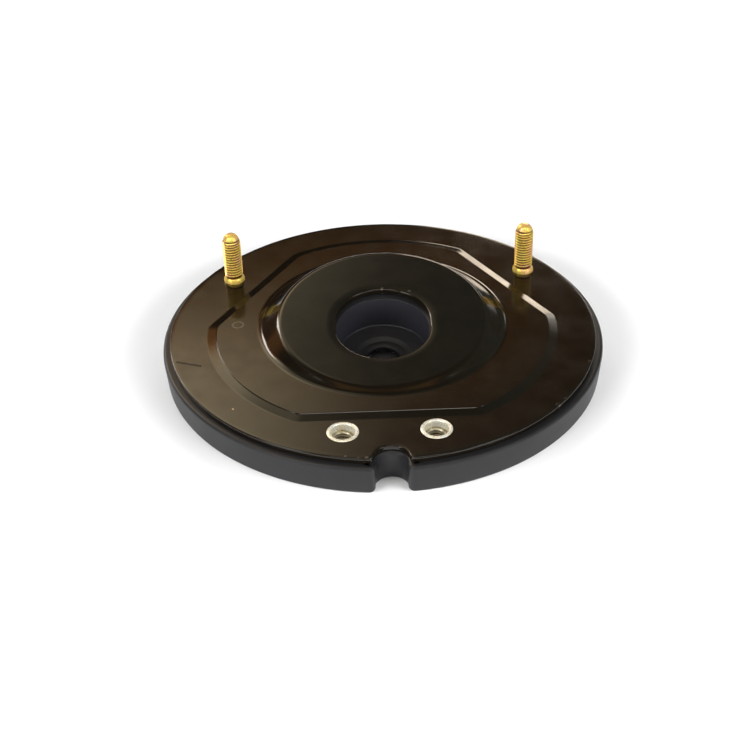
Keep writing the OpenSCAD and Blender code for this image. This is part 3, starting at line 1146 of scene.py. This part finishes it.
@dataclass
class Stud(Fastener):
    """An M8 stud pressed in from below, with its collar on the plate and a rounded tip."""

    across: float = 64.522
    back: float = 43.112
    thread_r: float = 4.0
    root_r: float = 3.3
    length: float = 23.0
    collar_r: float = 4.6
    collar_h: float = 2.0
    tip: float = 3.4
    tip_r: float = 1.8
    head_r: float = 6.5
    head_t: float = 2.4

    def build(self) -> Object:
        """Turns the stud's body, winds its thread and tapers the thread at the tip.

        Returns:
            The stud.
        """
        place = Matrix.Translation((self.side.value * self.across, self.back, self.flange_z))
        bm = bmesh.new()
        head, seat, top = -self.sheet - self.head_t, -self.sheet - self.bond, self.length
        section = [
            (0, head), (self.head_r - 0.5, head), (self.head_r, head + 0.5), (self.head_r, seat),
            (self.collar_r, seat), (self.collar_r, self.collar_h - 1.2),
            (self.collar_r - 0.08, self.collar_h - 0.9), (self.collar_r - 0.4, self.collar_h - 0.4),
            (self.collar_r - 0.75, self.collar_h),
            (self.root_r, self.collar_h + 0.1), (self.root_r, top - 2.7), (self.root_r + 0.15, top - 1.95),
            (self.root_r - 0.3, top - 1.25), (self.tip_r + 0.7, top - 0.6), (self.tip_r + 0.1, top - 0.15),
            (self.tip_r - 0.4, top), (0, top),
        ]
        spun(bm, section, place, self.steps)
        before = set(bm.verts)
        thread(bm, place, self.root_r - 0.1, self.thread_r, self.collar_h + 0.6, top - 1.3, self.pitch)
        slope = (self.thread_r - self.tip_r) / self.tip
        for vert in [v for v in bm.verts if v not in before]:
            local = vert.co - place.translation
            limit = self.thread_r - max(0.0, local.z - (top - self.tip)) * slope
            reach = local.xy.length
            if reach > limit:
                vert.co.xy = place.translation.xy + local.xy * (limit / reach)
        return finished(bm, f"stud_{self.side.name.lower()}", sharp=35)


@dataclass
class ClinchNut(Fastener):
    """An M8 nut clinched into the plate: flared ring on top, plain mouth, then the thread."""

    across: float = 17.9
    front: float = 71.9
    ring_r: float = 6.2
    ring_h: float = 0.4
    mouth_r: float = 4.7
    mouth_depth: float = 1.9
    bore_r: float = 4.1
    crest_r: float = 3.4
    barrel_r: float = 6.8
    barrel_l: float = 7.0

    def build(self) -> Object:
        """Turns the nut's body and winds the thread inside it.

        Returns:
            The nut.
        """
        place = Matrix.Translation((self.side.value * self.across, -self.front, self.flange_z))
        bm = bmesh.new()
        seat, low = -self.sheet - self.bond, -self.sheet - self.barrel_l
        section = [
            (self.mouth_r + 0.05, self.ring_h - 0.35), (self.mouth_r + 0.3, self.ring_h - 0.06),
            (self.mouth_r + 0.6, self.ring_h), (self.ring_r - 0.55, self.ring_h - 0.02),
            (self.ring_r - 0.15, self.ring_h - 0.14), (self.ring_r, 0.1), (self.ring_r, seat),
            (self.barrel_r, seat), (self.barrel_r, low + 0.5),
            (self.barrel_r - 0.5, low), (self.bore_r + 0.5, low), (self.bore_r, low + 0.5),
            (self.bore_r, -self.mouth_depth - 0.8), (self.mouth_r - 0.1, -self.mouth_depth - 0.2),
            (self.mouth_r, -self.mouth_depth + 0.2),
        ]
        spun(bm, section, place, self.steps)
        thread(bm, place, self.bore_r + 0.05, self.crest_r, low + 0.7, -self.mouth_depth - 0.9, self.pitch)
        return finished(bm, f"clinch_nut_{self.side.name.lower()}", sharp=35)


# ---- Studio


@dataclass(frozen=True)
class SoftBox:
    """A soft box that faces the mount, lighting its surfaces or mirrored in them.

    Its azimuth is 0 behind the mount and positive to the right, and its elevation is above the floor, both in
    degrees. Distance, width and height are metres.
    """

    name: str
    azimuth: float
    elevation: float
    size: tuple[float, float]
    radiance: float
    tint: str = "#FFFFFF"
    use: Light = Light.MIRRORED
    distance: float = 1.6

    def build(self) -> None:
        """Hangs the soft box and says which rays see it."""
        light = bpy.data.lights.new(self.name, "AREA")
        light.shape = "RECTANGLE"
        light.size, light.size_y = self.size
        light.energy = self.radiance * math.pi * self.size[0] * self.size[1]
        light.color = linear(self.tint)[:3]
        holder = bpy.data.objects.new(self.name, light)
        a, e = math.radians(self.azimuth), math.radians(self.elevation)
        place = Vector((math.sin(a) * math.cos(e), math.cos(a) * math.cos(e), math.sin(e))) * self.distance
        holder.matrix_world = Matrix.Translation(place) @ place.to_track_quat("Z", "Y").to_matrix().to_4x4()
        holder.visible_camera = False
        holder.visible_diffuse = self.use is Light.FILL
        holder.visible_glossy = self.use is Light.MIRRORED
        bpy.context.scene.collection.objects.link(holder)


@dataclass(frozen=True)
class Fade:
    """A soft edge in the room, along one direction from where it is faint to where it is full."""

    way: str
    faint: float
    full: float
    least: float = 0.0


@dataclass(frozen=True)
class Glow:
    """A brighter part of the room that the gloss mirrors, inside its soft edges."""

    colour: tuple[float, float, float]
    edges: tuple[Fade, ...]


@dataclass(frozen=True)
class Studio:
    """Pale floor, soft boxes and the camera at the photograph's angle."""

    focal_px: float = 1400.0
    frame_px: float = 750.0
    down: float = 0.6138537
    roll: float = -0.0246107
    turned: float = 0.0196535
    offset: tuple[float, float, float] = (3.17032, -20.27889, 591.374)
    flange_z: float = 15.0
    flag_size: tuple[float, float, float] = (340.0, 2.0, 62.0)
    flag_away: float = 300.0
    floor_size: float = 4000.0
    floor_gap: float = 0.05
    # Little light falls from straight above, so the depth of the cup stays dark
    fill_tone: float = 0.95
    fill_edge: tuple[float, float] = (0.56, 0.46)
    fill_least: float = 0.03
    # What the gloss mirrors, by the sine of the elevation: dark, then grey-green, then a dark ceiling
    tiers: tuple[tuple[float, tuple[float, float, float]], ...] = (
        (0.0, (0.012, 0.009, 0.006)), (0.62, (0.012, 0.009, 0.006)), (0.7, (0.075, 0.095, 0.082)),
        (0.8, (0.075, 0.095, 0.082)), (0.88, (0.03, 0.03, 0.027)),
    )
    # The pale window at the left, the brown wall low and high, the brown left side high and low, the
    # grey-green right side and the brown front
    glows: tuple[Glow, ...] = (
        Glow(
            (2.4, 1.96, 1.24),
            (Fade("X", 0.05, -0.15), Fade("Y", 0.3, 0.5), Fade("Z", 0.525, 0.565), Fade("Z", 0.76, 0.66, 0.35)),
        ),
        Glow(
            (0.42, 0.17, 0.035),
            (Fade("X", 0.18, 0.03, 0.12), Fade("Y", 0.3, 0.5, 0.1), Fade("Z", 0.48, 0.52), Fade("Z", 0.6, 0.55)),
        ),
        Glow(
            (0.17, 0.11, 0.07),
            (Fade("X", 0.18, 0.03, 0.35), Fade("Y", 0.3, 0.5, 0.3), Fade("Z", 0.55, 0.62), Fade("Z", 0.74, 0.66)),
        ),
        Glow(
            (0.7, 0.25, 0.06),
            (Fade("X", -0.12, -0.25), Fade("Y", 0.3, 0.5), Fade("Z", 0.38, 0.46), Fade("Z", 0.58, 0.53)),
        ),
        Glow(
            (0.5, 0.2, 0.05),
            (Fade("X", -0.4, -0.55), Fade("Y", 0.3, 0.5), Fade("Z", -0.05, 0.05), Fade("Z", 0.45, 0.35)),
        ),
        Glow((0.085, 0.105, 0.09), (Fade("X", 0.28, 0.4), Fade("Z", 0.72, 0.64))),
        Glow((0.5, 0.25, 0.06), (Fade("Y", 0.12, -0.06), Fade("Z", 0.88, 0.95))),
    )
    boxes: tuple[SoftBox, ...] = (
        SoftBox("key_left", -125, 24, (1.6, 0.7), 12.5, use=Light.FILL, distance=1.8),
        SoftBox("key_right", 125, 24, (1.6, 0.7), 12.5, use=Light.FILL, distance=1.8),
        SoftBox("key_back", 0, 26, (1.6, 0.5), 6.0, use=Light.FILL, distance=1.8),
        SoftBox("low_left", -140, 10, (0.8, 0.2), 4.0),
        SoftBox("low_right", 140, 10, (0.8, 0.2), 4.0),
        SoftBox("left_tall", -43, 27, (0.26, 0.66), 10.0, "#FFFAF0"),
        SoftBox("right_strip", 12.5, 19.5, (0.38, 0.22), 9.0, "#FFEBD2"),
        SoftBox("right_glint", 24, 23, (0.24, 0.2), 3.5, "#FFF4E4"),
        SoftBox("brow_strip", 180, 58, (1.2, 0.25), 6.0, "#FFFAF2"),
        SoftBox("brow_left", -122, 42, (0.5, 0.4), 8.0, "#FFFAF2"),
        SoftBox("brow_right", 122, 42, (0.5, 0.4), 4.0, "#FFFAF2"),
    )

    def camera(self) -> None:
        """Places the camera that sees the mount as the photograph does."""
        c, s = math.cos(self.down), math.sin(self.down)
        tilt = Matrix(((1, 0, 0), (0, -s, -c), (0, c, -s)))
        look = Matrix.Rotation(self.roll, 3, "Z") @ tilt @ Matrix.Rotation(self.turned, 3, "Z")
        place = -(look.transposed() @ Vector(self.offset)) + Vector((0, 0, self.flange_z))
        lens = bpy.data.cameras.new("photo_camera")
        lens.sensor_width = 36.0
        lens.lens = self.focal_px * lens.sensor_width / self.frame_px
        lens.clip_start, lens.clip_end = 0.01, 50.0
        holder = bpy.data.objects.new("photo_camera", lens)
        axes = Matrix((look[0], -look[1], -look[2])).transposed()
        holder.matrix_world = Matrix.Translation(place * MM) @ axes.to_4x4()
        bpy.context.scene.collection.objects.link(holder)
        bpy.context.scene.camera = holder

    def flag(self, name: str, azimuth: float, tone: str) -> None:
        """Stands a low card beside the mount, which the boss's wall mirrors in place of the floor.

        Args:
            name: its name.
            azimuth: direction in degrees, 0 behind the mount and positive to the right.
            tone: its colour.
        """
        high = self.flag_size[2]
        bm = bmesh.new()
        bmesh.ops.create_cube(bm, size=1)
        bmesh.ops.scale(bm, vec=self.flag_size, verts=bm.verts)
        bmesh.ops.translate(bm, vec=(0, self.flag_away, high / 2), verts=bm.verts)
        turn = Matrix.Rotation(-math.radians(azimuth), 3, "Z")
        bmesh.ops.rotate(bm, cent=(0, 0, 0), matrix=turn, verts=bm.verts)
        card = finished(bm, name)
        material, tree, _ = start_material(name)
        end_material(tree, {"Base Color": linear(tone), "Roughness": 0.9, "Specular IOR Level": 0.0})
        card.data.materials.append(material)
        card.visible_camera = card.visible_diffuse = card.visible_shadow = False

    def surroundings(self) -> None:
        """Makes the room: pale to the eye, and warm, dim and brighter at the left where gloss mirrors it."""
        world = bpy.data.worlds.new("pale_room")
        world.use_nodes = True
        tree = world.node_tree
        tree.nodes.clear()
        direction = add(tree, "TexCoord").outputs["Generated"]
        parts = add(tree, "SeparateXYZ", {0: direction})
        z = parts.outputs["Z"]
        tiers = add(tree, "ValToRGB", {"Fac": z})
        ramp = tiers.color_ramp.elements
        ramp[0].position, ramp[0].color = self.tiers[0][0], (*self.tiers[0][1], 1)
        ramp[1].position, ramp[1].color = self.tiers[-1][0], (*self.tiers[-1][1], 1)
        for height, colour in self.tiers[1:-1]:
            ramp.new(height).color = (*colour, 1)
        mirrored = add(tree, "Background", {"Color": tiers, "Strength": 1.0})
        for glow in self.glows:
            share: Node | float = 1.0
            for edge in glow.edges:
                where = parts.outputs[edge.way]
                fade = add(
                    tree, "MapRange",
                    {"Value": where, "From Min": edge.faint, "From Max": edge.full, "To Min": edge.least},
                    interpolation_type="SMOOTHSTEP",
                )
                share = add(tree, "Math", {0: share, 1: fade}, operation="MULTIPLY")
            light = add(tree, "Background", {"Color": (*glow.colour, 1), "Strength": share})
            mirrored = add(tree, "AddShader", {0: mirrored, 1: light})
        dark, bright = self.fill_edge
        fill = add(
            tree, "MapRange", {"Value": z, "From Min": dark, "From Max": bright, "To Min": self.fill_least}
        )
        pale = add(tree, "Background", {"Color": (*[self.fill_tone] * 3, 1), "Strength": fill})
        seen = add(tree, "Background", {"Color": (1, 1, 1, 1), "Strength": 1.0})
        rays = add(tree, "LightPath")
        lit = add(tree, "MixShader", {0: rays.outputs["Is Glossy Ray"], 1: pale, 2: mirrored})
        whole = add(tree, "MixShader", {0: rays.outputs["Is Camera Ray"], 1: lit, 2: seen})
        add(tree, "OutputWorld", {"Surface": whole})
        bpy.context.scene.world = world

    def floor(self) -> None:
        """Lays the pale floor that the mount rests on."""
        bm = bmesh.new()
        bmesh.ops.create_grid(bm, x_segments=1, y_segments=1, size=self.floor_size)
        bmesh.ops.translate(bm, vec=(0, 0, -self.floor_gap), verts=bm.verts)
        piece = finished(bm, "floor")
        material, tree, place = start_material("matt_white_board")
        tone = mottled(tree, place, size=60, detail=2.0, tones=("#F6F6F6", "#F4F4F4"))
        end_material(tree, {"Base Color": tone, "Roughness": 0.9, "Specular IOR Level": 0.0})
        piece.data.materials.append(material)

    def build(self) -> None:
        """Sets up floor, room, soft boxes and camera."""
        self.camera()
        self.surroundings()
        self.floor()
        for box in self.boxes:
            box.build()
        self.flag("brown_card", -42, "#3A2412")
        self.flag("dark_card", 42, "#33332C")
        bpy.context.scene.view_settings.view_transform = "Standard"


# ---- The whole mount


def bearing_rings(axis: StrutAxis) -> list[tuple[BearingRing, Body, str]]:
    """Lists the bearing's rings, with their sections on the strut axis.

    Args:
        axis: the axis that they turn about.

    Returns:
        Each ring, the body that it rides on and the solid that it stands for.
    """
    groove = BallGroove()
    seat = [(24.35, -8.85), (39.65, -8.85), (39.65, -13.35), (37.65, -13.35), (37.65, -10.85), (24.35, -10.85)]
    upper = [(24.35, -10.85), (37.6, -10.85), (37.6, -12.75), *groove.arc(0), (24.35, -12.75)]
    lower = [(26.0, -15.15), *groove.arc(180), (36.0, -15.15), (36.0, -17.05), (26.0, -17.05)]
    outer = [(36.05, -17.0), (39.6, -17.0), (39.6, -15.9), (37.15, -15.9), (37.15, -13.25), (36.05, -13.25)]
    inner = [(23.8, -16.55), (25.5, -16.55), (25.5, -15.15), (24.9, -12.8), (23.8, -12.8)]
    return [
        (BearingRing(axis, "seat_ring", seat, 0.4), Body.MOUNT, "bearing_seat"),
        (BearingRing(axis, "race_upper", upper), Body.MOUNT, "upper_race"),
        (BearingRing(axis, "race_lower", lower), Body.LOWER_RING, "lower_race"),
        (BearingRing(axis, "seal_outer", outer, 0.2), Body.LOWER_RING, "outer_seal"),
        (BearingRing(axis, "seal_inner", inner, 0.2), Body.MOUNT, "inner_seal"),
    ]


def main() -> None:
    """Builds and dresses every piece, then lights the scene."""
    logging.basicConfig(level=logging.INFO, format="%(message)s")
    axis, dial = StrutAxis(), Dial()
    form = Pressing(axis)
    coat = ECoat(
        chips=(
            (83.0, -30.6, 0.8), (66.0, -59.0, 0.9), (69.3, -55.2, 0.5), (-12.4, -87.6, 0.35), (-9.3, -87.9, 0.6),
            (-7.4, -88.1, 0.4), (-17.2, -86.6, 0.4), (-60.4, -54.5, 0.4), (0.5, 13.6, 0.6), (11.9, 11.2, 0.5),
        ),
        ring_mark=(-61.1, 4.0, 2.3),
        scuff=((-84.8, -20.9), (-75.3, -24.2)),
    ).material()
    satin_coat = ECoat(name="dip_coat_satin_black", film="#1B1B1F", thin_film="#232327", roughness=0.55).material()
    rubber = MouldedRubber().material()
    seal_rubber = MouldedRubber(name="nitrile_seal_rubber", body="#161618", bloom="#1C1C1E").material()
    stud, nut = Stud(Side.RIGHT), ClinchNut(Side.RIGHT)
    # Both zinc finishes paint shade into their thread's roots, and the nut's finish also paints its mouth darker
    yellow = Zinc(
        "yellow_passivated_zinc", tints=("#E8B87E", "#EAC55E", "#E3D06A"), root_shade="#553812",
        axis=(stud.across, stud.back), root=stud.root_r, end=35.6, crest_unshaded=1.0, metallic=0.6,
    ).material()
    clear = Zinc(
        "clear_passivated_zinc", tints=("#E2DAC0", "#E6E2D2", "#DEDED4"), root_shade="#8E8460",
        axis=(nut.across, nut.front), root=nut.bore_r, end=15.0, crest_unshaded=0.6, metallic=0.5,
    ).material()
    steel = GroundSteel().material()
    nylon = MouldedNylon().material()

    dressed(PressedPlate(form, dial).build(), coat, Body.MOUNT, "upper_plate")
    dressed(RubberIsolator(form, dial).build(), rubber, Body.MOUNT, "rubber_isolator")
    dressed(RodCup(axis).build(), satin_coat, Body.MOUNT, "rod_cup")
    finishes = {
        "bearing_seat": (satin_coat, "black_plate"), "upper_race": (steel, "bearing_steel"),
        "lower_race": (steel, "bearing_steel"), "outer_seal": (seal_rubber, "seal_rubber"),
        "inner_seal": (seal_rubber, "seal_rubber"),
    }
    for ring, body, node in bearing_rings(axis):
        material, slot = finishes[node]
        dressed(ring.build(), material, body, node)
    for side in Side:
        label = side.name.lower()
        dressed(Stud(side).build(), yellow, Body.MOUNT, f"{label}_stud")
        dressed(ClinchNut(side).build(), clear, Body.MOUNT, f"{label}_clinch_nut")
    for name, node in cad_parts.items():
        if not node.hide_render:
            node.data.materials.clear()
            node.data.materials.append(nylon if name == "ball_cage" else steel)
    Studio().build()


if __name__ == "__main__":
    main()
